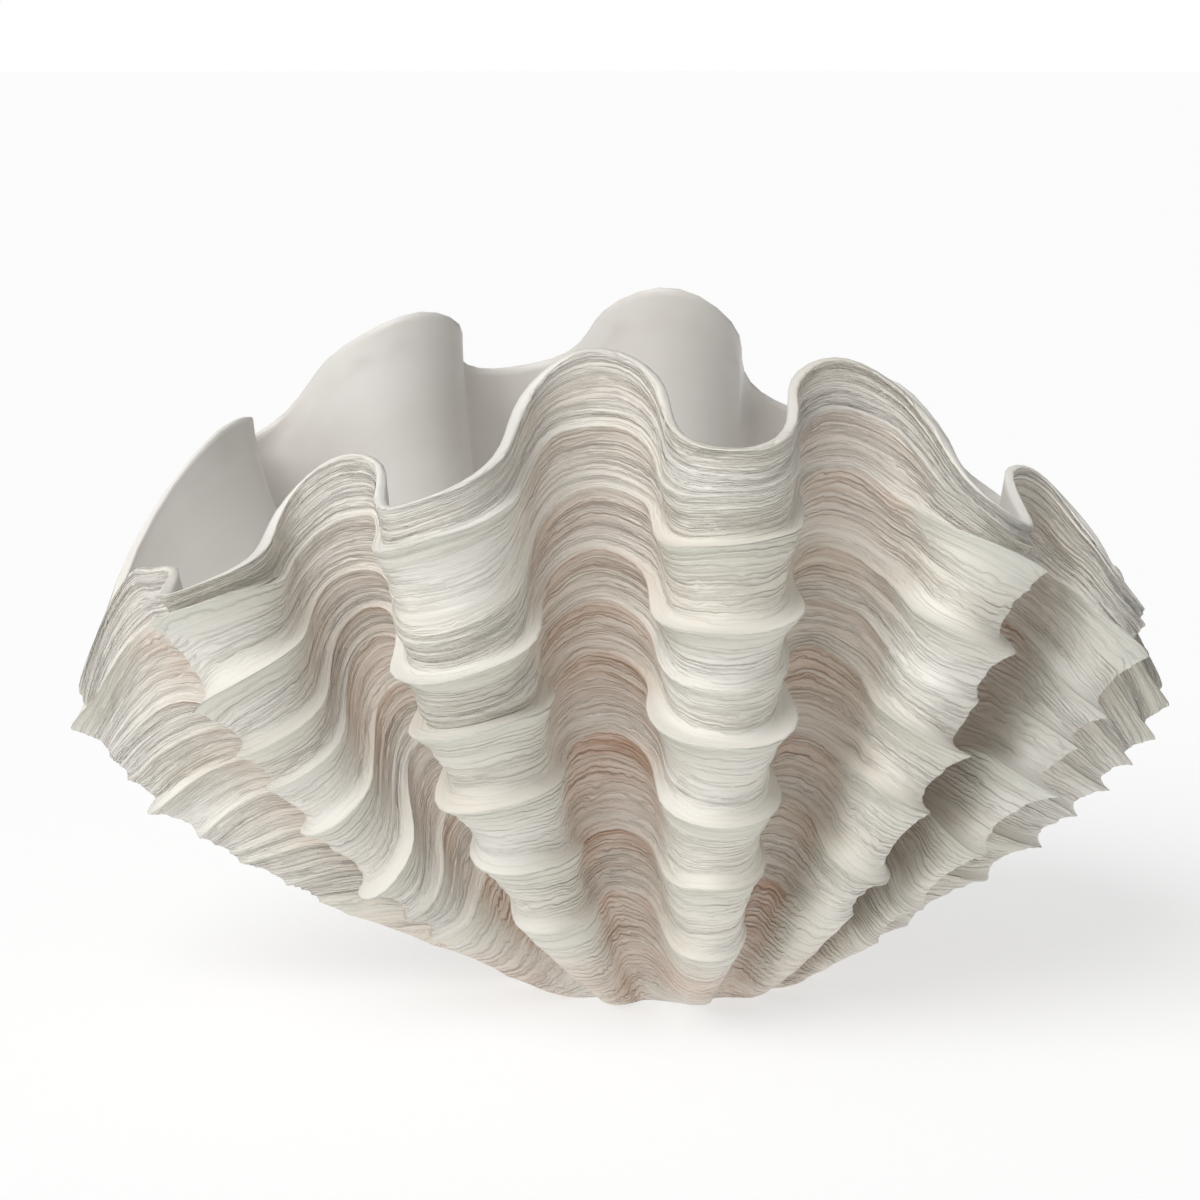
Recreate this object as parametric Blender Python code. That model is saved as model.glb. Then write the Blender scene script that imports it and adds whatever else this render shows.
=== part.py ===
"""Giant clam shell: one continuous bowl of folded shell, standing on a small flat under the beak.

The wall is a fan of meridians. Each starts on the outline of the flat foot and climbs to the wavy
rim. A rib meridian bulges outward and meets the rim in a trough, and a groove meridian runs
further in and meets the rim at a peak. A closed spline through the meridians gives the folds.
The growth coordinate v is 0 at the foot and 1 at the rim. Lines of equal v are old rims.
The ribs carry flared scutes, whose lips lie on shared growth lines.
Measurements are in millimetres until the mesh is made. The front is -Y.
"""
import bpy
import bmesh
import numpy as np

# ------------------------------------------------------------------ driving dimensions
MM = 0.001
RIM_THICK = 4.0          # wall at the rim
FLOOR_THICK = 15.0       # wall over the foot
STEP_PART = 0.30         # share of each growth period taken by the hollow above a lip
FOLD_START = 0.08        # growth coordinate where the inside begins to follow the folds
FOLD_FULL = 0.88         # and where it follows them fully
ROUNDING = 1.3           # half-folds over which the floor of the hollow is rounded off
COLS = 5                 # mesh columns between a rib and the next groove
INNER_ROWS = 9
CENTRE = (1.75, 0.85)    # moves the middle of the finished box on to the origin

# Meridians, in order round the rim from the left end along the front wall.
# name, rim point x y z, foot point x y, spread, rise, swing
#   spread: how early the meridian gains its width; rise: how late it gains its height
#   swing: sideways bow of the meridian at half growth
MERIDIANS = [
    ("rib_left",     (-305,    0, 173), (-44,   0), 1.80, 1.05,   0),
    ("groove_1",     (-267,  -60, 252), (-35, -14), 1.42, 1.05,   0),
    ("rib_front_1",  (-240, -135, 254), (-34, -29), 1.35, 1.30,  10),
    ("groove_2",     (-168, -100, 315), (-15, -30), 1.50, 1.05,   0),
    ("rib_front_2",  (-117, -180, 307), ( -8, -43), 1.75, 1.35,   9),
    ("groove_3",     ( -32, -105, 373), (  6, -37), 2.00, 1.10,   0),
    ("rib_front_3",  (  33, -190, 331), ( 31, -47), 2.20, 1.45,   0),
    ("groove_4",     ( 105, -105, 367), ( 44, -36), 1.65, 1.10,  -8),
    ("rib_front_4",  ( 179, -170, 294), ( 63, -36), 1.60, 1.30, -28),
    ("groove_5",     ( 208,  -85, 305), ( 62, -20), 1.32, 1.10,   4),
    ("rib_front_5",  ( 260, -115, 238), ( 82, -19), 1.32, 1.20, -28),
    ("groove_6",     ( 268,  -35, 240), ( 74,  -5), 1.35, 1.05,   0),
    ("rib_right",    ( 303,   25, 162), ( 84,   6), 1.65, 1.05,   0),
    ("groove_7",     ( 268,   75, 235), ( 70,  13), 1.40, 1.05,   0),
    ("rib_back_1",   ( 236,  135, 256), ( 71,  28), 1.60, 1.25,   0),
    ("groove_8",     ( 165,  100, 331), ( 53,  27), 1.70, 1.05,   0),
    ("rib_back_2",   ( 111,  185, 308), ( 44,  43), 2.00, 1.35,   0),
    ("groove_9",     (  35,  105, 387), ( 23,  36), 2.00, 1.10,   0),
    ("rib_back_3",   ( -61,  190, 333), (  0,  45), 2.00, 1.40,   0),
    ("groove_10",    (-117,  105, 375), (-17,  31), 1.70, 1.10,   0),
    ("rib_back_4",   (-214,  165, 297), (-32,  32), 1.60, 1.30,   0),
    ("groove_11",    (-230,   85, 312), (-35,  15), 1.40, 1.05,   0),
]
# Shift of the rim half-way to the next meridian, for folds that lean
FLANKS = {
    "rib_left": (-6, 0, 10), "groove_1": (0, 0, -3), "rib_front_1": (0, 0, -12),
    "groove_2": (0, 0, -5), "rib_front_2": (0, 0, -5), "groove_3": (4, 0, -4),
    "rib_front_3": (3, 0, 0), "groove_4": (9, 0, -4), "rib_front_4": (0, 0, -6),
    "groove_5": (3, 0, 0), "rib_back_1": (4, 0, -15), "rib_back_2": (0, 0, -3),
    "groove_9": (7, 0, 5), "rib_back_3": (-8, 0, -3), "groove_10": (-4, 0, 7),
    "groove_11": (-16, 0, 0),
}
# Scute lips: height of each above the foot on its rib's crest, lowest first, and how far it stands out
LIPS = {
    "rib_left":    ((24, 41, 60, 75, 89, 110, 151),     (3, 6, 3, 3, 4, 9, 13)),
    "rib_front_1": ((53, 81, 122, 147, 167, 208, 238),  (9, 14, 9, 7, 7, 13, 15)),
    "rib_front_2": ((63, 100, 137, 179, 212, 248, 276), (6, 9, 13, 15, 14, 7, 5)),
    "rib_front_3": ((39, 94, 126, 173, 204, 233, 278),  (6, 6, 10, 15, 5, 15, 11)),
    "rib_front_4": ((36, 62, 92, 134, 169, 221, 265),   (6, 8, 11, 8, 16, 17, 18)),
    "rib_front_5": ((28, 54, 88, 126, 154, 174, 204),   (6, 7, 8, 12, 8, 11, 16)),
    "rib_right":   ((31, 50, 69, 85, 97, 115, 142),     (6, 6, 9, 6, 10, 8, 10)),
    "rib_back_1":  ((28, 56, 90, 122, 156, 192, 228),   (5, 8, 9, 12, 9, 13, 11)),
    "rib_back_2":  ((34, 66, 102, 144, 184, 224, 268),  (6, 8, 10, 13, 12, 14, 9)),
    "rib_back_3":  ((36, 76, 110, 152, 194, 240, 288),  (6, 6, 12, 13, 12, 15, 9)),
    "rib_back_4":  ((40, 72, 104, 140, 178, 216, 258),  (5, 9, 9, 10, 12, 13, 9)),
}
N_LIPS = 7


# ------------------------------------------------------------------ the surface
def control_rows():
    """One row per meridian and one half-way between neighbours:
    rim x y z, foot x y, spread, rise, swing, ribness, 7 lip coordinates, 7 lip amounts."""
    full = []
    for i, (name, rim, foot, a, b, sw) in enumerate(MERIDIANS):
        if name in LIPS:
            heights, amounts = LIPS[name]
            lips = [(h / rim[2]) ** (1.0 / b) for h in heights]
            full.append([*rim, *foot, a, b, sw, 1.0, *lips, *amounts])
        else:
            full.append([*rim, *foot, a, b, sw, 0.0] + [None] * (2 * N_LIPS))
    n = len(full)
    for i in range(n):
        if full[i][9] is None:                      # a groove takes its growth lines from its two ribs
            p, q = full[i - 1], full[(i + 1) % n]
            for k in range(N_LIPS):
                full[i][9 + k] = (p[9 + k] + q[9 + k]) / 2
                full[i][9 + N_LIPS + k] = 0.0
    rows = []
    for i in range(n):
        here, there = full[i], full[(i + 1) % n]
        mid = [(p + q) / 2 for p, q in zip(here, there)]
        for k, shift in enumerate(FLANKS.get(MERIDIANS[i][0], (0, 0, 0))):
            mid[k] += shift
        rows.append(here)
        rows.append(mid)
    return np.array(rows, float)


class ClosedSpline:
    """Periodic cubic spline through rows of numbers, with knots spaced by the length of the rim."""

    def __init__(self, rows):
        step = np.linalg.norm(np.roll(rows[:, :3], -1, 0) - rows[:, :3], axis=1) ** 0.75
        n = len(rows)
        mat = np.zeros((n, n))
        rhs = np.zeros(rows.shape)
        for i in range(n):
            before, after = step[i - 1], step[i]
            mat[i, i - 1] += before
            mat[i, i] += 2 * (before + after)
            mat[i, (i + 1) % n] += after
            rhs[i] = 6 * ((rows[(i + 1) % n] - rows[i]) / after - (rows[i] - rows[i - 1]) / before)
        self.rows, self.bend, self.n = rows, np.linalg.solve(mat, rhs), n
        self.knot = np.concatenate([[0.0], np.cumsum(step)])

    def at(self, s):
        s = np.mod(s, self.knot[-1])
        i = np.clip(np.searchsorted(self.knot, s, side="right") - 1, 0, self.n - 1)
        h = (self.knot[i + 1] - self.knot[i])[:, None]
        t = (s - self.knot[i])[:, None] / h
        j = (i + 1) % self.n
        return ((1 - t) * self.rows[i] + t * self.rows[j]
                + h * h / 6 * (((1 - t) ** 3 - (1 - t)) * self.bend[i] + (t ** 3 - t) * self.bend[j]))


def meridian_points(q, v):
    """Points at growth v on the meridians q; q is (..., 8 or more) and v broadcasts with it."""
    spread = 1 - np.clip(1 - v, 0, 1) ** q[..., 5]
    rise = v ** q[..., 6]
    dx, dy = q[..., 0] - q[..., 3], q[..., 1] - q[..., 4]
    length = np.hypot(dx, dy)
    bow = q[..., 7] * 4 * v * (1 - v)
    return np.stack([q[..., 3] + dx * spread - dy / length * bow,
                     q[..., 4] + dy * spread + dx / length * bow,
                     q[..., 2] * rise], -1)


def outward(func, s, v):
    """Unit normals of a surface func(s, v), pointing out of the bowl."""
    ds, dv = 0.05, 0.002
    lo, hi = np.clip(v - dv, 0.0, 1.0), np.clip(v + dv, 0.0, 1.0)
    along = func(s + ds, v) - func(s - ds, v)
    up = func(s, hi) - func(s, lo)
    n = np.cross(along, up)
    return n / np.linalg.norm(n, axis=-1, keepdims=True)


def smooth(x):
    x = np.clip(x, 0.0, 1.0)
    return x * x * (3 - 2 * x)


def scute(q, v):
    """How far the scutes push the surface out at growth v: a rise to each lip, then a hollow step."""
    lips = [np.zeros(v.shape)] + [q[..., 9 + k] for k in range(N_LIPS)] + [np.ones(v.shape)]
    amount = [np.zeros(v.shape)] + [np.clip(q[..., 9 + N_LIPS + k], 0, None) for k in range(N_LIPS)]
    amount += [0.5 * amount[-1]]
    d = np.zeros(v.shape)
    for k in range(N_LIPS + 1):
        p = (v - lips[k]) / (lips[k + 1] - lips[k])
        inside = (p >= 0) & (p <= 1)
        p = np.clip(p, 0, 1)
        step = amount[k] * np.clip(1 - p / STEP_PART, 0, 1) ** 2
        flare = amount[k + 1] * np.clip((p - STEP_PART) / (1 - STEP_PART), 0, 1) ** 1.6
        d = np.where(inside, step + flare, d)
    return d


def build_grids():
    rows = control_rows()
    ring = ClosedSpline(rows)
    env_rows = rows.copy()                           # the smooth bowl through the grooves only
    n = len(rows)
    for i in range(0, n, 4):                         # a rib row, its neighbours at +-1 and +-2
        before, after = rows[i - 2], rows[(i + 2) % n]
        for off, part in ((-1, 0.25), (0, 0.5), (1, 0.75)):
            env_rows[(i + off) % n, :9] = ((1 - part) * before + part * after)[:9]
    env = ClosedSpline(env_rows)

    s = []
    for i in range(0, n, 2):
        span = ring.knot[i + 2] - ring.knot[i]
        s += [ring.knot[i] + span * k / COLS for k in range(COLS)]
    s = np.array(s)
    q = ring.at(s)[:, None, :]

    # growth rows: each lip, the foot of its step, and one between
    lips = [np.zeros(len(s))] + [q[:, 0, 9 + k] for k in range(N_LIPS)] + [np.ones(len(s))]
    cols = [lips[0]]
    for k in range(N_LIPS + 1):
        gap = lips[k + 1] - lips[k]
        if k > 0:
            cols.append(lips[k] + gap * STEP_PART * 0.9)
        if k < N_LIPS:
            cols.append(lips[k] + gap * 0.68)
        else:
            cols.append(lips[k] + gap * 0.62)
        cols.append(lips[k + 1])
    v = np.stack(cols, 1)

    def fold(ss, vv):
        return meridian_points(ring.at(ss)[:, None, :], vv)

    outer = fold(s, v)
    normal = outward(fold, s, v)
    outer = outer + normal * scute(q, v)[..., None]
    outer[:, 0, 2] = 0.0

    # the inside: the folds fade towards a smooth hollow, and the wall thickens towards the foot
    vi = np.linspace(1.0, 0.05, INNER_ROWS)[None, :] * np.ones((len(s), 1))

    def env_at(ss):
        # the two splines share their rows but not their knot spacing, so they are matched row by row
        ss = np.mod(ss, ring.knot[-1])
        i = np.clip(np.searchsorted(ring.knot, ss, side="right") - 1, 0, n - 1)
        t = (ss - ring.knot[i]) / (ring.knot[i + 1] - ring.knot[i])
        return env.at(env.knot[i] + t * (env.knot[i + 1] - env.knot[i]))

    def fade(vv):
        return smooth((vv - FOLD_START) / (FOLD_FULL - FOLD_START))[..., None]

    def bowl(ss, vv):
        return meridian_points(env_at(ss)[:, None, :], vv)

    def hollow(ss, vv):
        low = bowl(ss, vv)
        return low + (fold(ss, vv) - low) * fade(vv)

    # the floor of the hollow is rounded off: each ring loses its waves, the more so the lower it lies
    wave = np.arange(len(s) // 2 + 1) * 2 * np.pi / len(s)
    width = ROUNDING * COLS * (1 - fade(vi)[0, :, 0])
    keep = np.exp(-0.5 * (wave[:, None] * width[None, :]) ** 2)[..., None]

    def rounded(grid):
        return np.fft.irfft(np.fft.rfft(grid, axis=0) * keep, n=len(s), axis=0)

    thick = RIM_THICK + (FLOOR_THICK - RIM_THICK) * (1 - vi) ** 1.3
    away = rounded(outward(bowl, s, vi)) * (1 - fade(vi)) + outward(hollow, s, vi) * fade(vi)
    away /= np.linalg.norm(away, axis=-1, keepdims=True)
    low = bowl(s, vi)
    inner = hollow(s, vi) + rounded(low) - low - away * thick[..., None]
    return outer, inner


def make_shell():
    outer, inner = build_grids()
    move = np.array([*CENTRE, 0.0])
    outer, inner = (outer + move) * MM, (inner + move) * MM
    n, rows_out = outer.shape[:2]
    rows_in = inner.shape[1]
    bm = bmesh.new()
    rings = []
    for r in range(rows_out):
        rings.append([bm.verts.new(outer[i, r]) for i in range(n)])
    for r in range(rows_in):
        rings.append([bm.verts.new(inner[i, r]) for i in range(n)])
    for low, high in zip(rings[:-1], rings[1:]):
        for i in range(n):
            j = (i + 1) % n
            bm.faces.new((low[i], low[j], high[j], high[i]))
    foot = bm.verts.new((outer[:, 0, 0].mean(), outer[:, 0, 1].mean(), 0.0))
    floor = bm.verts.new(inner[:, -1].mean(0))
    for i in range(n):
        j = (i + 1) % n
        bm.faces.new((foot, rings[0][j], rings[0][i]))
        bm.faces.new((floor, rings[-1][i], rings[-1][j]))
    bmesh.ops.triangulate(bm, faces=[f for f in bm.faces if len(f.verts) > 3],
                          quad_method="SHORT_EDGE")
    bmesh.ops.recalc_face_normals(bm, faces=bm.faces)
    mesh = bpy.data.meshes.new("clam_shell")
    bm.to_mesh(mesh)
    bm.free()
    mesh.shade_smooth()
    mesh.set_sharp_from_angle(angle=np.radians(50))
    return mesh


def main():
    for obj in list(bpy.data.objects):
        bpy.data.objects.remove(obj, do_unlink=True)
    mat = bpy.data.materials.new("shell")
    mat.use_nodes = True
    bsdf = mat.node_tree.nodes["Principled BSDF"]
    bsdf.inputs["Base Color"].default_value = (0.80, 0.75, 0.69, 1.0)
    bsdf.inputs["Roughness"].default_value = 0.6
    bsdf.inputs["Metallic"].default_value = 0.0
    obj = bpy.data.objects.new("clam_shell", make_shell())
    obj.data.materials.append(mat)
    bpy.context.scene.collection.objects.link(obj)


main()
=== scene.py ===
"""Looks of the giant clam shell: one closed mesh that repeats the part's folded surface with ragged
scutes, ledges and growth lines, a chalky stained outside with painted shade under the ledges and a satin inside.

The wall is a fan of meridians from the flat foot to the wavy rim, joined by a closed spline.
Growth is counted in steps: 0 at the foot, 1 to 8 at the ledges, 9 at the rim, so that every row of
the mesh is an old rim. The shape is worked out in millimetres.
"""
import math

import bpy
import numpy as np
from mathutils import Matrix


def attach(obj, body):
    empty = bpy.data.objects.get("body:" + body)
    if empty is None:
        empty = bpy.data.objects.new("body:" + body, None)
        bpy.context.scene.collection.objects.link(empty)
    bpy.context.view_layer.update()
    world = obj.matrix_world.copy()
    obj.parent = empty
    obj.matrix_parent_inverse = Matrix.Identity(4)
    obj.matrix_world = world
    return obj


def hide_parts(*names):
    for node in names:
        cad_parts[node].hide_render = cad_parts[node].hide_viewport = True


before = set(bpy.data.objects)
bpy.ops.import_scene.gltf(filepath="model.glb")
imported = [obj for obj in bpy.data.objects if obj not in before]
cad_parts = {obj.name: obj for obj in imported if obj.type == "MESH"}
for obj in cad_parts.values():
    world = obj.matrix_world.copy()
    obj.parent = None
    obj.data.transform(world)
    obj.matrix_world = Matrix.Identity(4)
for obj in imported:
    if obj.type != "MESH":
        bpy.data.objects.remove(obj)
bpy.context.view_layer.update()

# ------------------------------------------------------------------ the folded surface
MM = 0.001
CENTRE = np.array([1.75, 0.85, 0.0])
RIM_THICK, FLOOR_THICK = 4.0, 15.0
FOLD_START, FOLD_FULL, ROUNDING = 0.08, 0.88, 1.3
N_LIPS = 8
SQUARE = 0.08            # how far crests and grooves are broadened, as a share of the way between them
SQUARE_AT = {"groove_11": 0.0, "groove_2": 0.10, "rib_front_1": 0.10}

# name, rim point x y z, foot point x y, spread, rise, swing
MERIDIANS = [
    ("rib_left",     (-305,    0, 173), (-44,   0), 1.80, 1.05,   0),
    ("groove_1",     (-267,  -60, 252), (-35, -14), 1.42, 1.05,   0),
    ("rib_front_1",  (-240, -135, 254), (-34, -29), 1.35, 1.30,  10),
    ("groove_2",     (-168, -100, 315), (-15, -30), 1.50, 1.05,   0),
    ("rib_front_2",  (-117, -180, 307), ( -8, -43), 1.75, 1.35,   9),
    ("groove_3",     ( -32, -105, 373), (  6, -37), 2.00, 1.10,   0),
    ("rib_front_3",  (  33, -190, 331), ( 31, -47), 2.20, 1.45,   0),
    ("groove_4",     ( 105, -105, 367), ( 44, -36), 1.65, 1.10,  -8),
    ("rib_front_4",  ( 179, -170, 294), ( 63, -36), 1.60, 1.30, -28),
    ("groove_5",     ( 208,  -85, 305), ( 62, -20), 1.32, 1.10,   4),
    ("rib_front_5",  ( 260, -115, 238), ( 82, -19), 1.32, 1.20, -28),
    ("groove_6",     ( 268,  -35, 240), ( 74,  -5), 1.35, 1.05,   0),
    ("rib_right",    ( 303,   25, 162), ( 84,   6), 1.65, 1.05,   0),
    ("groove_7",     ( 268,   75, 235), ( 70,  13), 1.40, 1.05,   0),
    ("rib_back_1",   ( 236,  135, 256), ( 71,  28), 1.60, 1.25,   0),
    ("groove_8",     ( 165,  100, 331), ( 53,  27), 1.70, 1.05,   0),
    ("rib_back_2",   ( 111,  185, 308), ( 44,  43), 2.00, 1.35,   0),
    ("groove_9",     (  35,  105, 387), ( 23,  36), 2.00, 1.10,   0),
    ("rib_back_3",   ( -61,  190, 333), (  0,  45), 2.00, 1.40,   0),
    ("groove_10",    (-117,  105, 375), (-17,  31), 1.70, 1.10,   0),
    ("rib_back_4",   (-214,  165, 297), (-32,  32), 1.60, 1.30,   0),
    ("groove_11",    (-230,   85, 312), (-35,  15), 1.40, 1.05,   0),
]
FLANKS = {
    "rib_left": (-6, 0, 10), "groove_1": (0, 0, -3), "rib_front_1": (0, 0, -12),
    "groove_2": (0, 0, -5), "rib_front_2": (0, 0, -5), "groove_3": (4, 0, -4),
    "rib_front_3": (3, 0, 0), "groove_4": (9, 0, -4), "rib_front_4": (0, 0, -6),
    "groove_5": (3, 0, 0), "rib_back_1": (4, 0, -15), "rib_back_2": (0, 0, -3),
    "groove_9": (7, 0, 5), "rib_back_3": (-8, 0, -3), "groove_10": (-4, 0, 7),
    "groove_11": (-16, 0, 0),
}
# Ledges: height of each above the foot on its meridian, lowest first, and how far it stands out there.
# The same growth line makes the same ledge on every meridian.
LIPS = {
    "rib_left":    ((54, 64, 78, 93, 109, 125, 138, 155),       (3, 2, 2, 3, 10, 2, 2, 12)),
    "rib_front_1": ((55, 67, 88, 122, 150, 169, 200, 242),      (5, 5, 13, 10, 8, 9, 16, 13)),
    "rib_front_2": ((66, 103, 142, 183, 196, 215, 237, 284),    (6, 9, 13, 14, 0, 13, 2, 8)),
    "rib_front_3": ((48, 95, 131, 179, 204, 236, 279, 306),     (6, 7, 11, 16, 5, 14, 12, 3)),
    "rib_front_4": ((69, 97, 141, 176, 199, 226, 269, 284),     (5, 9, 10, 16, 4, 16, 18, 4)),
    "rib_front_5": ((42, 66, 101, 141, 164, 183, 215, 230),     (5, 7, 9, 15, 8, 9, 16, 4)),
    "rib_right":   ((31, 57, 77, 93, 106, 122, 136, 152),       (5, 6, 8, 8, 9, 7, 9, 9)),
    "rib_back_1":  ((36, 62, 92, 124, 150, 178, 206, 232),      (5, 8, 9, 13, 5, 12, 14, 6)),
    "rib_back_2":  ((48, 88, 128, 168, 194, 226, 256, 286),     (6, 8, 11, 14, 4, 14, 11, 5)),
    "rib_back_3":  ((52, 96, 134, 182, 206, 242, 276, 308),     (6, 7, 12, 14, 5, 13, 14, 5)),
    "rib_back_4":  ((56, 88, 124, 160, 188, 214, 246, 276),     (5, 8, 10, 13, 6, 12, 12, 7)),
}
GROOVE_LIPS = {          # where a ledge runs lower over a groove than half-way between its two ribs
    "groove_1": (54, 70, 87, 121, 142, 159, 175, 223),
    "groove_2": (90, 127, 161, 191, 219, 235, 257, 285),
    "groove_3": (73, 109, 166, 209, 237, 265, 300, 334),
    "groove_4": (79, 127, 164, 215, 240, 269, 312, 341),
    "groove_5": (58, 94, 124, 153, 193, 228, 262, 286),
}
GROOVE_DROP = 0.32       # the same for the other grooves, as a share of v (1 - v)
GROOVE_LIP = 3.4         # how far a ledge stands out where it crosses a groove


def control_rows():
    """One row per meridian and one half-way between neighbours:
    rim x y z, foot x y, spread, rise, swing, ribness, 8 ledge coordinates, 8 ledge amounts."""
    full = []
    for name, rim, foot, a, b, sw in MERIDIANS:
        heights, amounts = LIPS.get(name, (GROOVE_LIPS.get(name), (0,) * N_LIPS))
        places = [(h / rim[2]) ** (1.0 / b) for h in heights] if heights else [None] * N_LIPS
        full.append([*rim, *foot, a, b, sw, 1.0 if name in LIPS else 0.0, *places, *amounts])
    n = len(full)
    for i in range(n):
        if full[i][9] is None:
            p, q = full[i - 1], full[(i + 1) % n]
            for k in range(9, 9 + N_LIPS):
                mean = (p[k] + q[k]) / 2
                full[i][k] = mean - GROOVE_DROP * mean * (1 - mean)
    rows = []
    for i in range(n):
        mid = [(p + q) / 2 for p, q in zip(full[i], full[(i + 1) % n])]
        for k, shift in enumerate(FLANKS.get(MERIDIANS[i][0], (0, 0, 0))):
            mid[k] += shift
        rows += [full[i], mid]
    return np.array(rows, float)


class ClosedSpline:
    """Periodic cubic spline through rows of numbers, with knots spaced by the length of the rim."""

    def __init__(self, rows):
        step = np.linalg.norm(np.roll(rows[:, :3], -1, 0) - rows[:, :3], axis=1) ** 0.75
        n = len(rows)
        mat, rhs = np.zeros((n, n)), np.zeros(rows.shape)
        for i in range(n):
            before, after = step[i - 1], step[i]
            mat[i, i - 1] += before
            mat[i, i] += 2 * (before + after)
            mat[i, (i + 1) % n] += after
            rhs[i] = 6 * ((rows[(i + 1) % n] - rows[i]) / after - (rows[i] - rows[i - 1]) / before)
        self.rows, self.bend, self.n = rows, np.linalg.solve(mat, rhs), n
        self.knot = np.concatenate([[0.0], np.cumsum(step)])

    def at(self, s):
        s = np.mod(s, self.knot[-1])
        i = np.clip(np.searchsorted(self.knot, s, side="right") - 1, 0, self.n - 1)
        h = (self.knot[i + 1] - self.knot[i])[:, None]
        t = (s - self.knot[i])[:, None] / h
        j = (i + 1) % self.n
        return ((1 - t) * self.rows[i] + t * self.rows[j]
                + h * h / 6 * (((1 - t) ** 3 - (1 - t)) * self.bend[i] + (t ** 3 - t) * self.bend[j]))


def meridian_points(q, v):
    spread = 1 - np.clip(1 - v, 0, 1) ** q[..., 5]
    rise = np.clip(v, 0, None) ** q[..., 6]
    dx, dy = q[..., 0] - q[..., 3], q[..., 1] - q[..., 4]
    bow = q[..., 7] * 4 * v * (1 - v) / np.hypot(dx, dy)
    return np.stack([q[..., 3] + dx * spread - dy * bow,
                     q[..., 4] + dy * spread + dx * bow,
                     q[..., 2] * rise], -1)


def frame_of(func, s, v):
    """Unit normals of a surface func(s, v), pointing out of the bowl, and unit vectors up along it."""
    ds, dv = 0.05, 0.002
    lo, hi = np.clip(v - dv, 0.0, 1.0), np.clip(v + dv, 0.0, 1.0)
    along = func(s + ds, v) - func(s - ds, v)
    up = func(s, hi) - func(s, lo)
    n = np.cross(along, up)
    return (n / np.linalg.norm(n, axis=-1, keepdims=True),
            up / np.linalg.norm(up, axis=-1, keepdims=True))


def smooth(x):
    x = np.clip(x, 0.0, 1.0)
    return x * x * (3 - 2 * x)


class Noise:
    """Smooth value noise from -1 to 1 on a seeded lattice that closes on itself round the shell."""

    def __init__(self, seed, cells):
        self.cells = cells
        self.table = np.random.default_rng(seed).uniform(-1, 1, (cells, 997))

    def at(self, turn, y):
        """turn is the place round the shell, 0 to 1; y counts lattice cells."""
        turn, y = np.broadcast_arrays(turn, y)
        x = np.mod(turn, 1.0) * self.cells
        i, j = np.floor(x).astype(int), np.floor(y).astype(int)
        fx, fy = x - i, y - j
        fx, fy = (f * f * f * (f * (f * 6 - 15) + 10) for f in (fx, fy))
        c = self.cells
        t = self.table
        low = t[i % c, j % 997] * (1 - fx) + t[(i + 1) % c, j % 997] * fx
        high = t[i % c, (j + 1) % 997] * (1 - fx) + t[(i + 1) % c, (j + 1) % 997] * fx
        return low * (1 - fy) + high * fy


def ledges(a, at, amount, step, power):
    """A stack of ledges: the surface swells out up to each place in `at`, then steps back over `step` mm.
    a: growth in mm; amount: function(line number) giving how far that ledge stands out, same shape as a."""
    j = np.clip(np.searchsorted(at, a, side="right") - 1, 0, len(at) - 2)
    gap = at[j + 1] - at[j]
    p = (a - at[j]) / gap
    part = np.clip(step / gap, 0.05, 0.6)
    below = amount(j) * np.clip(1 - p / part, 0, 1) ** 2
    above = amount(j + 1) * np.clip((p - part) / (1 - part), 0, 1) ** power
    return below + above


# ------------------------------------------------------------------ the mesh
# millimetres of growth at the foot, the eight ledges and the rim, as measured up the middle ribs
AGE = np.array([0.0, 68.0, 116.0, 160.0, 208.0, 236.0, 270.0, 314.0, 356.0, 410.0])
LEAN = 0.40              # how far a scute leans up, for each mm that it stands out
ROWS = (18, 32, 36, 40, 26, 34, 40, 36, 38)
COLUMNS = {"groove_6": 12, "rib_right": 11, "groove_7": 11, "rib_back_1": 11, "groove_8": 11, "rib_back_2": 11,
           "groove_9": 11, "rib_back_3": 11, "groove_10": 11, "rib_back_4": 11, "groove_11": 12}
INNER_ROWS = 54


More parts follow.
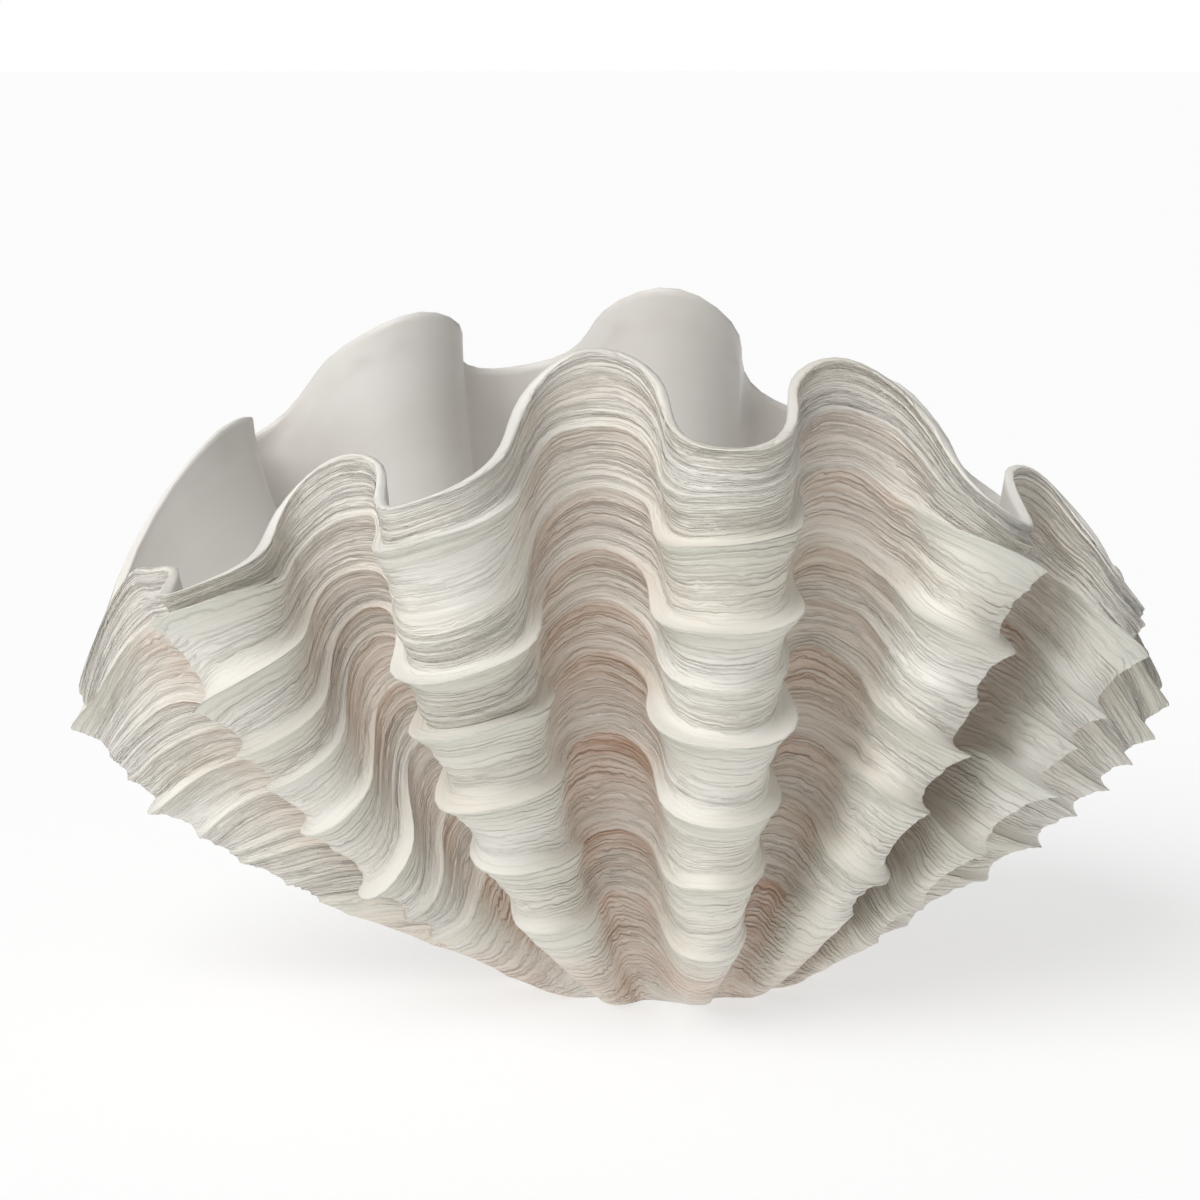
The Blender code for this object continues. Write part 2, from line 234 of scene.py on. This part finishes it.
def build():
    rows = control_rows()
    ring = ClosedSpline(rows)
    n_rows = len(rows)
    env_rows = rows.copy()
    for i in range(0, n_rows, 4):
        before, after = rows[i - 2], rows[(i + 2) % n_rows]
        for off, part in ((-1, 0.25), (0, 0.5), (1, 0.75)):
            env_rows[(i + off) % n_rows, :9] = ((1 - part) * before + part * after)[:9]
    env = ClosedSpline(env_rows)
    full = ring.knot[-1]
    span = np.linalg.norm(np.roll(rows[::2, :3], -1, 0) - rows[::2, :3], axis=1)
    square = np.array([SQUARE_AT.get(name, SQUARE) for name, *_ in MERIDIANS]) * span

    def ring_at(ss):
        """The meridians, with the crests and grooves broadened and the flanks between them steeper."""
        q_ = ring.at(ss)
        ss_ = np.mod(ss, full)
        i_ = np.clip(np.searchsorted(ring.knot[::2], ss_, side="right") - 1, 0, len(MERIDIANS) - 1)
        u_ = (ss_ - ring.knot[2 * i_]) / (ring.knot[2 * i_ + 2] - ring.knot[2 * i_])
        way = env_at(ss + 0.5)[:, :3] - env_at(ss - 0.5)[:, :3]
        way /= np.linalg.norm(way, axis=1, keepdims=True)
        q_[:, :3] += (square[i_] * np.sin(2 * np.pi * u_))[:, None] * way
        return q_

    def env_at(ss):
        ss = np.mod(ss, full)
        i = np.clip(np.searchsorted(ring.knot, ss, side="right") - 1, 0, n_rows - 1)
        t = (ss - ring.knot[i]) / (ring.knot[i + 1] - ring.knot[i])
        return env.at(env.knot[i] + t * (env.knot[i + 1] - env.knot[i]))

    # columns, closer together on the crests and in the grooves than on the flanks
    s = []
    for i, (name, *_) in enumerate(MERIDIANS):
        a, b = ring.knot[2 * i], ring.knot[2 * i + 2]
        count = COLUMNS.get(name, 15)
        t = np.arange(count) / count
        t = t - 0.16 * np.sin(2 * np.pi * t) / (2 * np.pi)
        s += list(a + (b - a) * t)
    s = np.array(s)
    turn = (s / full)[:, None]
    q = ring.at(s)
    rib = np.clip(q[:, 8:9], 0, 1)

    # rows: growth steps from the foot to the rim, closer together at each lip
    r = []
    for k, count in enumerate(ROWS):
        t = np.arange(count) / count
        r += list(k + t - 0.55 * np.sin(2 * np.pi * t) / (2 * np.pi))
    r = np.array(r + [N_LIPS + 1.0])[None, :]
    k = np.clip(np.floor(r).astype(int), 0, N_LIPS)
    p = r - k

    # growth coordinate of the surface: each lip wanders a little and has a ragged edge
    slow, mid = Noise(11, 40), Noise(12, 110)
    lip_v = np.zeros((len(s), N_LIPS + 2))
    for j in range(1, N_LIPS + 1):
        wander = 3.0 * slow.at(turn[:, 0], j * 7.3) + 1.5 * mid.at(turn[:, 0], j * 5.1)
        lip_v[:, j] = q[:, 8 + j] + wander / 380.0
    lip_v[:, -1] = 1.0 - (1.1 + 0.9 * mid.at(turn[:, 0], 3.3)) / 380.0
    v = np.take_along_axis(lip_v, np.broadcast_to(k, (len(s), r.shape[1])), 1) * (1 - p) \
        + np.take_along_axis(lip_v, np.broadcast_to(k + 1, (len(s), r.shape[1])), 1) * p
    age = AGE[k] * (1 - p) + AGE[k + 1] * p + 0 * v

    def fold(ss, vv):
        return meridian_points(ring_at(ss)[:, None, :], vv)

    base = fold(s, v)
    normal, up = frame_of(fold, s, v)

    # scutes
    amount = np.zeros((len(s), N_LIPS + 2))
    sharp = rib[:, 0] ** 1.5
    share = (0.17 + 0.13 * sharp)[:, None]
    for j in range(1, N_LIPS + 1):
        crest = np.clip(q[:, 8 + N_LIPS + j], 0, None) / np.maximum(rib[:, 0], 0.05)
        chip = 1 + 0.16 * slow.at(turn[:, 0], 40 + j * 9.1) + 0.10 * mid.at(turn[:, 0], 70 + j * 4.3)
        amount[:, j] = np.clip(GROOVE_LIP * (1 - sharp) + crest * sharp, 0, None) * chip
    amount[:, -1] = 0.3 * amount[:, -2]
    low = np.take_along_axis(amount, np.broadcast_to(k, v.shape), 1)
    high = np.take_along_axis(amount, np.broadcast_to(k + 1, v.shape), 1)
    swell = low * np.clip(1 - p / share, 0, 1) ** 1.7 + high * np.clip((p - share) / (1 - share), 0, 1) ** 2.7

    # smaller ledges, then growth lines
    rng = np.random.default_rng(5)
    minor = np.cumsum(rng.uniform(9, 19, 60))
    minor_w = rng.uniform(0.15, 1.0, 60)
    lines = np.cumsum(rng.uniform(2.6, 5.6, 220))
    lines_w = rng.uniform(0.2, 1.0, 220) ** 1.3
    patch, strand = Noise(21, 60), Noise(22, 130)
    smooth_part = np.clip(1 - p / share, 0, 1) ** 0.6 * (k > 0) * np.clip(low / 7.0, 0.2, 1.0)    # shelves are smooth
    # under: the top of each step, just below the next lip; it carries the painted shade under the ledges
    under = np.clip((p - 0.55) / 0.45, 0, 1) + 0 * v
    a1 = age + 1.5 * patch.at(turn, age / 30.0)
    small = ledges(a1, minor, lambda j: minor_w[j] * (0.55 + 0.45 * patch.at(turn, j * 1.7)), 4.0, 1.6)
    a2 = age + 0.9 * strand.at(turn, age / 14.0)
    fine = ledges(a2, lines, lambda j: lines_w[j] * np.clip(0.55 + 0.6 * strand.at(turn, j * 1.3), 0, 1), 1.0, 1.4)
    rough = 1 - 0.9 * smooth_part
    d = swell + 2.6 * small * rough * (0.6 + 0.4 * rib) + 1.5 * fine * rough
    d = d + 0.8 * patch.at(turn, 200 + age / 60.0)
    fade_in = smooth(v / 0.05)
    d = d * fade_in
    lean = LEAN * (low * np.clip(1 - p / share, 0, 1) ** 2.5 + high * np.clip((p - share) / (1 - share), 0, 1) ** 3.4)
    outer = base + normal * d[..., None] + up * lean[..., None]
    outer[:, 0, 2] = 0.0
    outer[:, 1:, 2] = np.maximum(outer[:, 1:, 2], 0.4)

    # inside
    def fade(vv):
        return smooth((vv - FOLD_START) / (FOLD_FULL - FOLD_START))[..., None]

    def bowl(ss, vv):
        return meridian_points(env_at(ss)[:, None, :], vv)

    def hollow(ss, vv):
        low_ = bowl(ss, vv)
        return low_ + (fold(ss, vv) - low_) * fade(vv)

    per = 20                                          # even columns for the rounding, per meridian
    even = np.concatenate([ring.knot[2 * i] + (ring.knot[2 * i + 2] - ring.knot[2 * i]) * np.arange(per) / per
                           for i in range(len(MERIDIANS))])
    vi = 1.0 - (1.0 - 0.05) * np.linspace(0, 1, INNER_ROWS) ** 1.15
    vi = vi[None, :] * np.ones((len(even), 1))
    wave = np.arange(len(even) // 2 + 1) * 2 * np.pi / len(even)
    width = ROUNDING * per * (1 - fade(vi)[0, :, 0])
    keep = np.exp(-0.5 * (wave[:, None] * width[None, :]) ** 2)[..., None]

    def rounded(grid):
        return np.fft.irfft(np.fft.rfft(grid, axis=0) * keep, n=len(even), axis=0)

    thick = RIM_THICK + (FLOOR_THICK - RIM_THICK) * (1 - vi) ** 1.3
    away = rounded(frame_of(bowl, even, vi)[0]) * (1 - fade(vi)) + frame_of(hollow, even, vi)[0] * fade(vi)
    away /= np.linalg.norm(away, axis=-1, keepdims=True)
    low_ = bowl(even, vi)
    shift = rounded(low_) - low_ - away * thick[..., None]     # from the unrounded hollow to the inner face
    closed = np.concatenate([even, [full]])
    vi = vi[:1] * np.ones((len(s), 1))
    inner = hollow(s, vi)
    for row in range(INNER_ROWS):
        for axis in range(3):
            inner[:, row, axis] += np.interp(s, closed, np.append(shift[:, row, axis], shift[0, row, axis]))
    return dict(s=s, turn=turn[:, 0], rib=rib[:, 0], outer=outer, inner=inner, age=age, k=k, p=p, v=v, vi=vi,
                low=low, high=high, under=under, shelf=smooth_part, z=outer[..., 2])


def make_shell():
    g = build()
    outer, inner = (g["outer"] + CENTRE) * MM, (g["inner"] + CENTRE) * MM
    n, rows_out = outer.shape[:2]
    rows_in = inner.shape[1]

    # the rim's edge is rounded between the outer and the inner face
    a, b = outer[:, -1], inner[:, 0]
    up = outer[:, -1] - outer[:, -3]
    up /= np.linalg.norm(up, axis=-1, keepdims=True)
    edge = [a * (1 - t) + b * t + up * 0.0011 * math.sin(math.pi * t) ** 0.7 for t in (0.2, 0.5, 0.8)]

    verts, faces = [], []
    attr = {"grain": [], "stain": [], "shade": [], "smoothness": [], "inside": [], "crest": []}
    girth = 286.0                                       # mm radius that gives the grain its length round the shell
    around = np.stack([np.cos(g["turn"] * 2 * np.pi), np.sin(g["turn"] * 2 * np.pi)], -1) * girth

    blotch, tide = Noise(31, 26), Noise(32, 70)
    turn = g["turn"][:, None]
    groove = 1 - g["rib"][:, None]
    z = g["z"] / 380.0
    p, k, age = g["p"], g["k"], g["age"]
    # tan stain: in the grooves, strongest under each ledge and low on the shell
    fall = np.clip(1.45 - g["v"], 0.45, 1.0)
    stain = smooth((groove - 0.36) / 0.5) * (0.36 + 0.64 * np.clip((p - 0.15) / 0.85, 0, 1) ** 1.1) * fall
    stain = stain * (0.78 + 0.45 * blotch.at(turn, age / 55.0)) * (0.9 + 0.25 * tide.at(turn, age / 12.0))
    foot = smooth((0.17 - z) / 0.14) * (0.35 + 0.45 * blotch.at(turn, 50 + age / 40.0))
    stain = np.clip(np.maximum(stain, foot), 0, 1)
    stain *= 1 - 0.75 * smooth((v_rim(g) - 0.955) / 0.04)
    # painted shade: a greenish grey under each ledge, stronger where the ledge stands out further
    shade = g["under"] * np.clip(g["high"] / 9.0, 0, 1)

    def add_ring(points, grain_age, st, sh, sm, ins, cr):
        start = len(verts)
        for i in range(len(points)):
            verts.append(points[i])
        attr["grain"] += [(around[i][0], around[i][1], grain_age[i]) for i in range(len(points))]
        attr["stain"] += list(st)
        attr["shade"] += list(sh)
        attr["smoothness"] += list(sm)
        attr["inside"] += list(ins)
        attr["crest"] += list(cr)
        return np.arange(start, start + len(points))

    one, nil = np.ones(n), np.zeros(n)
    rings = []
    for j in range(rows_out):
        rings.append(add_ring(outer[:, j], age[:, j], stain[:, j], shade[:, j], g["shelf"][:, j], nil, g["rib"]))
    for t, e in zip((0.2, 0.5, 0.8), edge):
        rings.append(add_ring(e, age[:, -1] + 2 * t, nil, nil, one * t, one * max(0.0, 1.6 * t - 0.4), g["rib"]))
    for j in range(4):
        rings.append(add_ring(inner[:, j], age[:, -1] + 4 + 2 * j, nil, nil, one, one, g["rib"]))

    for lo, hi in zip(rings[:-1], rings[1:]):
        lo2, hi2 = np.roll(lo, -1), np.roll(hi, -1)
        faces.append(np.stack([lo, lo2, hi2, hi], -1))
    quads = np.concatenate(faces)

    # further in, every second column is enough
    tris = []
    half = np.arange(0, n, 2)
    last = rings[-1]
    start = len(verts)
    for i in half:
        verts.append(inner[i, 4])
        attr["grain"].append((around[i][0], around[i][1], age[i, -1] + 14))
        for name, value in (("stain", 0), ("shade", 0), ("smoothness", 1), ("inside", 1), ("crest", g["rib"][i])):
            attr[name].append(value)
    coarse = np.arange(start, start + len(half))
    m = len(half)
    for h in range(m):
        i0, i1, i2 = last[2 * h], last[2 * h + 1], last[(2 * h + 2) % n]
        c0, c1 = coarse[h], coarse[(h + 1) % m]
        tris += [(i0, i1, c0), (i1, c1, c0), (i1, i2, c1)]
    inner_quads = []
    for j in range(5, rows_in):
        start = len(verts)
        for i in half:
            verts.append(inner[i, j])
            attr["grain"].append((around[i][0], around[i][1], age[i, -1] + 10 + 6 * (j - 3)))
            for name, value in (("stain", 0), ("shade", 0), ("smoothness", 1), ("inside", 1), ("crest", g["rib"][i])):
                attr[name].append(value)
        ring_ = np.arange(start, start + m)
        inner_quads.append(np.stack([coarse, np.roll(coarse, -1), np.roll(ring_, -1), ring_], -1))
        coarse = ring_
    quads = np.concatenate([quads] + inner_quads)
    foot_v, floor_v = len(verts), len(verts) + 1
    verts.append(outer[:, 0].mean(0))
    verts[-1][2] = 0.0
    verts.append(np.mean([verts[i] for i in coarse], 0))
    for ins in (0, 1):
        attr["grain"].append((0.0, 0.0, 600.0 * ins))
        for name, value in (("stain", 0), ("shade", 0), ("smoothness", 1), ("inside", ins), ("crest", 0)):
            attr[name].append(value)
    first = rings[0]
    for i in range(n):
        tris.append((foot_v, first[(i + 1) % n], first[i]))
    for i in range(m):
        tris.append((floor_v, coarse[i], coarse[(i + 1) % m]))

    verts = np.array(verts, float)
    quads, tris = np.array(quads), np.array(tris)
    # each four-sided face is split along its shorter diagonal
    d1 = np.linalg.norm(verts[quads[:, 0]] - verts[quads[:, 2]], axis=1)
    d2 = np.linalg.norm(verts[quads[:, 1]] - verts[quads[:, 3]], axis=1)
    one_way = d1 <= d2
    q1, q2 = quads[one_way], quads[~one_way]
    tris = np.concatenate([tris, q1[:, [0, 1, 2]], q1[:, [0, 2, 3]], q2[:, [0, 1, 3]], q2[:, [1, 2, 3]]])
    print("triangles", len(tris))
    mesh = bpy.data.meshes.new("shell")
    mesh.vertices.add(len(verts))
    mesh.vertices.foreach_set("co", verts.ravel())
    mesh.loops.add(tris.size)
    mesh.loops.foreach_set("vertex_index", tris.ravel().astype(np.int32))
    mesh.polygons.add(len(tris))
    mesh.polygons.foreach_set("loop_start", np.arange(0, tris.size, 3, dtype=np.int32))
    mesh.update(calc_edges=True)
    mesh.validate()
    for name, values in attr.items():
        kind = "FLOAT_VECTOR" if name == "grain" else "FLOAT"
        layer = mesh.attributes.new(name, kind, "POINT")
        layer.data.foreach_set("vector" if name == "grain" else "value", np.array(values, float).ravel())
    mesh.shade_smooth()
    return mesh


def v_rim(g):
    return g["v"]


# ------------------------------------------------------------------ materials
class Nodes:
    """Short calls for building a node tree."""

    def __init__(self, mat):
        mat.use_nodes = True
        self.tree = mat.node_tree
        self.bsdf = self.tree.nodes["Principled BSDF"]

    def put(self, socket, value):
        if isinstance(value, bpy.types.NodeSocket):
            self.tree.links.new(value, socket)
        elif value is not None:
            socket.default_value = value

    def attr(self, name, vector=False):
        node = self.tree.nodes.new("ShaderNodeAttribute")
        node.attribute_name = name
        return node.outputs["Vector" if vector else "Fac"]

    def math(self, op, a, b=None, c=None, clamp=False):
        node = self.tree.nodes.new("ShaderNodeMath")
        node.operation, node.use_clamp = op, clamp
        for i, value in enumerate((a, b, c)):
            self.put(node.inputs[i], value)
        return node.outputs[0]

    def vmul(self, a, b):
        node = self.tree.nodes.new("ShaderNodeVectorMath")
        node.operation = "MULTIPLY"
        self.put(node.inputs[0], a)
        self.put(node.inputs[1], b)
        return node.outputs[0]

    def vadd(self, a, b):
        node = self.tree.nodes.new("ShaderNodeVectorMath")
        node.operation = "ADD"
        self.put(node.inputs[0], a)
        self.put(node.inputs[1], b)
        return node.outputs[0]

    def height_of(self, vector):
        node = self.tree.nodes.new("ShaderNodeSeparateXYZ")
        self.put(node.inputs[0], vector)
        return node.outputs["Z"]

    def combine(self, x, y, z):
        node = self.tree.nodes.new("ShaderNodeCombineXYZ")
        for socket, value in zip(node.inputs, (x, y, z)):
            self.put(socket, value)
        return node.outputs[0]

    def noise(self, vector, scale, detail=2.0, rough=0.5, distort=0.0):
        node = self.tree.nodes.new("ShaderNodeTexNoise")
        self.put(node.inputs["Vector"], vector)
        for name, value in (("Scale", scale), ("Detail", detail), ("Roughness", rough), ("Distortion", distort)):
            node.inputs[name].default_value = value
        return node.outputs["Fac"]

    def ramp(self, value, a, b, lo=0.0, hi=1.0):
        node = self.tree.nodes.new("ShaderNodeMapRange")
        node.interpolation_type = "SMOOTHSTEP"
        self.put(node.inputs["Value"], value)
        for name, number in (("From Min", a), ("From Max", b), ("To Min", lo), ("To Max", hi)):
            self.put(node.inputs[name], number)
        return node.outputs[0]

    def mix(self, fac, a, b):
        node = self.tree.nodes.new("ShaderNodeMix")
        node.data_type = "RGBA"
        self.put(node.inputs["Factor"], fac)
        self.put(node.inputs["A"], a)
        self.put(node.inputs["B"], b)
        return node.outputs["Result"]

    def bump(self, height, distance, strength=1.0, normal=None):
        node = self.tree.nodes.new("ShaderNodeBump")
        self.put(node.inputs["Height"], height)
        node.inputs["Distance"].default_value = distance
        node.inputs["Strength"].default_value = strength
        if normal is not None:
            self.put(node.inputs["Normal"], normal)
        return node.outputs["Normal"]


def rgb(r, g, b):
    """A linear colour from screen values of 0 to 255."""
    return tuple(((c / 255 + 0.055) / 1.055) ** 2.4 if c > 10 else c / 255 / 12.92 for c in (r, g, b)) + (1.0,)


def shell_material():
    mat = bpy.data.materials.new("shell")
    n = Nodes(mat)
    grain = n.attr("grain", vector=True)
    stain, shade = n.attr("stain"), n.attr("shade")
    calm, inside = n.attr("smoothness"), n.attr("inside")

    # growth lines: long ones that follow an old rim, and short wrinkles among them
    bend = n.math("MULTIPLY", n.math("SUBTRACT", n.noise(n.vmul(grain, (0.022, 0.022, 0.035)), 1.0, 2.0), 0.5), 7.0)
    bent = n.vadd(grain, n.combine(0.0, 0.0, bend))
    crimp = n.math("MULTIPLY", n.math("SUBTRACT", n.noise(n.vmul(grain, (0.10, 0.10, 0.14)), 1.0, 2.0), 0.5), 4.0)
    high = n.math("ADD", n.height_of(bent), crimp)
    saw_1 = n.math("FRACT", n.math("MULTIPLY", high, 0.40))
    saw_2 = n.math("FRACT", n.math("ADD", n.math("MULTIPLY", high, 0.21), n.math("MULTIPLY", crimp, 0.12)))
    some_1 = n.ramp(n.noise(n.vmul(bent, (0.018, 0.018, 0.22)), 1.0, 2.0), 0.36, 0.60)
    some_2 = n.ramp(n.noise(n.vmul(bent, (0.013, 0.013, 0.11)), 1.0, 2.0), 0.34, 0.58)
    layers = []
    for saw, some, part in ((saw_1, some_1, 0.5), (saw_2, some_2, 0.5)):
        edge = n.math("MINIMUM", n.math("MULTIPLY", saw, 1.25), n.math("MULTIPLY", n.math("SUBTRACT", 1.0, saw), 5.0))
        layers.append(n.math("MULTIPLY", n.math("MULTIPLY", edge, some), part))
    layer = n.math("ADD", layers[0], layers[1])
    # cut: the crease just after each growth-line step, darkened below partly as dirt and partly as painted shade in
    # the crease
    cut = n.math("MAXIMUM", n.math("MULTIPLY", n.ramp(saw_1, 0.30, 0.0), some_1),
                 n.math("MULTIPLY", n.ramp(saw_2, 0.20, 0.0), some_2))
    line = n.noise(n.vmul(bent, (0.005, 0.005, 0.36)), 1.0, 2.0, 0.62)
    hair = n.noise(n.vmul(bent, (0.040, 0.040, 0.66)), 1.0, 2.0, 0.60)
    cloud = n.noise(n.vmul(grain, (0.012, 0.012, 0.02)), 1.0, 3.0, 0.5)
    grit = n.noise(grain, 0.9, 2.0, 0.6)

    cream = n.mix(n.ramp(cloud, 0.35, 0.68), rgb(236, 233, 226), rgb(230, 225, 214))
    # painted shade: the cream turns greenish grey under the ledges, following the shade attribute
    chalk_and_painted_shade = n.mix(n.math("MULTIPLY", shade, 0.60), cream, rgb(203, 204, 191))
    tan = n.mix(n.ramp(hair, 0.38, 0.62), rgb(205, 168, 145), rgb(225, 202, 186))
    dirt = n.math("MULTIPLY", stain, n.ramp(line, 0.72, 0.36, 0.45, 1.0), clamp=True)
    outside = n.mix(dirt, chalk_and_painted_shade, tan)
    # dark brown lines in the stained creases: partly stain, partly painted crease shade
    dark_crease_dirt_and_shade = n.math("MULTIPLY", n.math("MULTIPLY", cut, n.ramp(stain, 0.10, 0.7)), 0.78, clamp=True)
    outside = n.mix(dark_crease_dirt_and_shade, outside, rgb(146, 104, 80))
    # faint grey lines in the creases and along the line noise, off the shelves: partly dirt, partly painted crease
    # shade
    faint_crease_dirt_and_shade = n.math("MAXIMUM", cut, n.math("MULTIPLY", n.ramp(line, 0.44, 0.33), 0.6))
    faint_crease_dirt_and_shade = n.math("MULTIPLY", faint_crease_dirt_and_shade, n.math("MULTIPLY", n.math("SUBTRACT", 1.0, calm), 0.40))
    outside = n.mix(faint_crease_dirt_and_shade, outside, rgb(158, 146, 128))
    satin = n.mix(n.ramp(cloud, 0.3, 0.7), rgb(229, 226, 221), rgb(223, 219, 213))
    n.put(n.bsdf.inputs["Base Color"], n.mix(inside, outside, satin))

    rough_out = n.math("ADD", 0.62, n.math("MULTIPLY", n.math("SUBTRACT", hair, 0.5), 0.25))
    rough_out = n.math("SUBTRACT", rough_out, n.math("MULTIPLY", calm, 0.12))
    rough = n.math("ADD", n.math("MULTIPLY", rough_out, n.math("SUBTRACT", 1.0, inside)),
                   n.math("MULTIPLY", 0.36, inside))
    n.put(n.bsdf.inputs["Roughness"], rough)

    keep = n.math("SUBTRACT", 1.0, n.math("MULTIPLY", calm, 0.85))
    keep = n.math("MULTIPLY", keep, n.math("SUBTRACT", 1.0, inside))
    height = n.math("ADD", n.math("MULTIPLY", n.ramp(line, 0.34, 0.66), 0.35), layer)
    height = n.math("MULTIPLY", height, keep)
    normal = n.bump(height, 0.0015, 1.0)
    normal = n.bump(n.math("MULTIPLY", grit, n.math("SUBTRACT", 1.0, inside)), 0.0002, 0.6, normal)
    n.put(n.bsdf.inputs["Normal"], normal)
    n.bsdf.inputs["Specular IOR Level"].default_value = 0.45
    return mat


# ------------------------------------------------------------------ the object
shell = bpy.data.objects.new("shell", make_shell())
bpy.context.scene.collection.objects.link(shell)
shell.data.materials.append(shell_material())
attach(shell, "root")
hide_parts("clam_shell")


# ------------------------------------------------------------------ stage, light and camera
def make_floor():
    mesh = bpy.data.meshes.new("floor")
    around = [(30 * math.cos(t), 30 * math.sin(t), 0.0) for t in np.linspace(0, 2 * math.pi, 64, endpoint=False)]
    mesh.from_pydata(around, [], [tuple(range(64))])
    floor = bpy.data.objects.new("floor", mesh)
    bpy.context.scene.collection.objects.link(floor)
    mat = bpy.data.materials.new("floor")
    mat.use_nodes = True
    bsdf = mat.node_tree.nodes["Principled BSDF"]
    bsdf.inputs["Base Color"].default_value = (0.45, 0.45, 0.45, 1.0)
    bsdf.inputs["Emission Color"].default_value = (1.0, 1.0, 1.0, 1.0)
    bsdf.inputs["Emission Strength"].default_value = 0.58
    bsdf.inputs["Roughness"].default_value = 0.9
    bsdf.inputs["Specular IOR Level"].default_value = 0.1
    floor.data.materials.append(mat)
    return floor


make_floor()
def sun(name, azimuth, elevation, strength, angle, colour=(1.0, 1.0, 1.0)):
    """A far light; azimuth 0 is behind the camera's usual side, and positive is to the right."""
    light = bpy.data.lights.new(name, "SUN")
    light.energy, light.angle, light.color = strength, math.radians(angle), colour
    obj = bpy.data.objects.new(name, light)
    obj.rotation_euler = (math.radians(90 - elevation), 0.0, math.radians(azimuth))
    bpy.context.scene.collection.objects.link(obj)


def studio():
    """A soft room: brighter on the left and overhead than on the right, and white along the horizon."""
    world = bpy.data.worlds.new("studio")
    world.use_nodes = True
    tree = world.node_tree
    place = tree.nodes.new("ShaderNodeTexCoord")
    split = tree.nodes.new("ShaderNodeSeparateXYZ")
    tree.links.new(place.outputs["Generated"], split.inputs[0])
    side = tree.nodes.new("ShaderNodeMapRange")
    tree.links.new(split.outputs["X"], side.inputs["Value"])
    for name, value in (("From Min", -0.9), ("From Max", 0.9), ("To Min", 0.52), ("To Max", 0.16)):
        side.inputs[name].default_value = value
    edge = tree.nodes.new("ShaderNodeMapRange")
    edge.interpolation_type = "SMOOTHSTEP"
    tree.links.new(split.outputs["Z"], edge.inputs["Value"])
    for name, value in (("From Min", 0.02), ("From Max", 0.10), ("To Min", 1.0), ("To Max", 0.0)):
        edge.inputs[name].default_value = value
    most = tree.nodes.new("ShaderNodeMath")
    most.operation = "MAXIMUM"
    tree.links.new(side.outputs[0], most.inputs[0])
    tree.links.new(edge.outputs[0], most.inputs[1])
    tree.links.new(most.outputs[0], tree.nodes["Background"].inputs["Strength"])
    tree.nodes["Background"].inputs["Color"].default_value = (1.0, 1.0, 1.0, 1.0)
    bpy.context.scene.world = world


sun("key", -46, 46, 1.95, 48)
sun("top", 20, 80, 0.25, 60)
studio()
bpy.context.scene.view_settings.view_transform = "Standard"

AZIMUTH, ELEVATION, DISTANCE = math.radians(-4.0), math.radians(10.0), 1.870
TARGET = np.array([-0.01725, 0.00085, 0.222])
cam = bpy.data.cameras.new("camera")
cam.lens, cam.sensor_width = 100.0, 36.0
camera = bpy.data.objects.new("camera", cam)
back = np.array([math.sin(AZIMUTH) * math.cos(ELEVATION), -math.cos(AZIMUTH) * math.cos(ELEVATION),
                 math.sin(ELEVATION)])
camera.location = TARGET + back * DISTANCE
camera.rotation_euler = (math.pi / 2 - ELEVATION, 0.0, AZIMUTH)
bpy.context.scene.collection.objects.link(camera)
bpy.context.scene.camera = camera
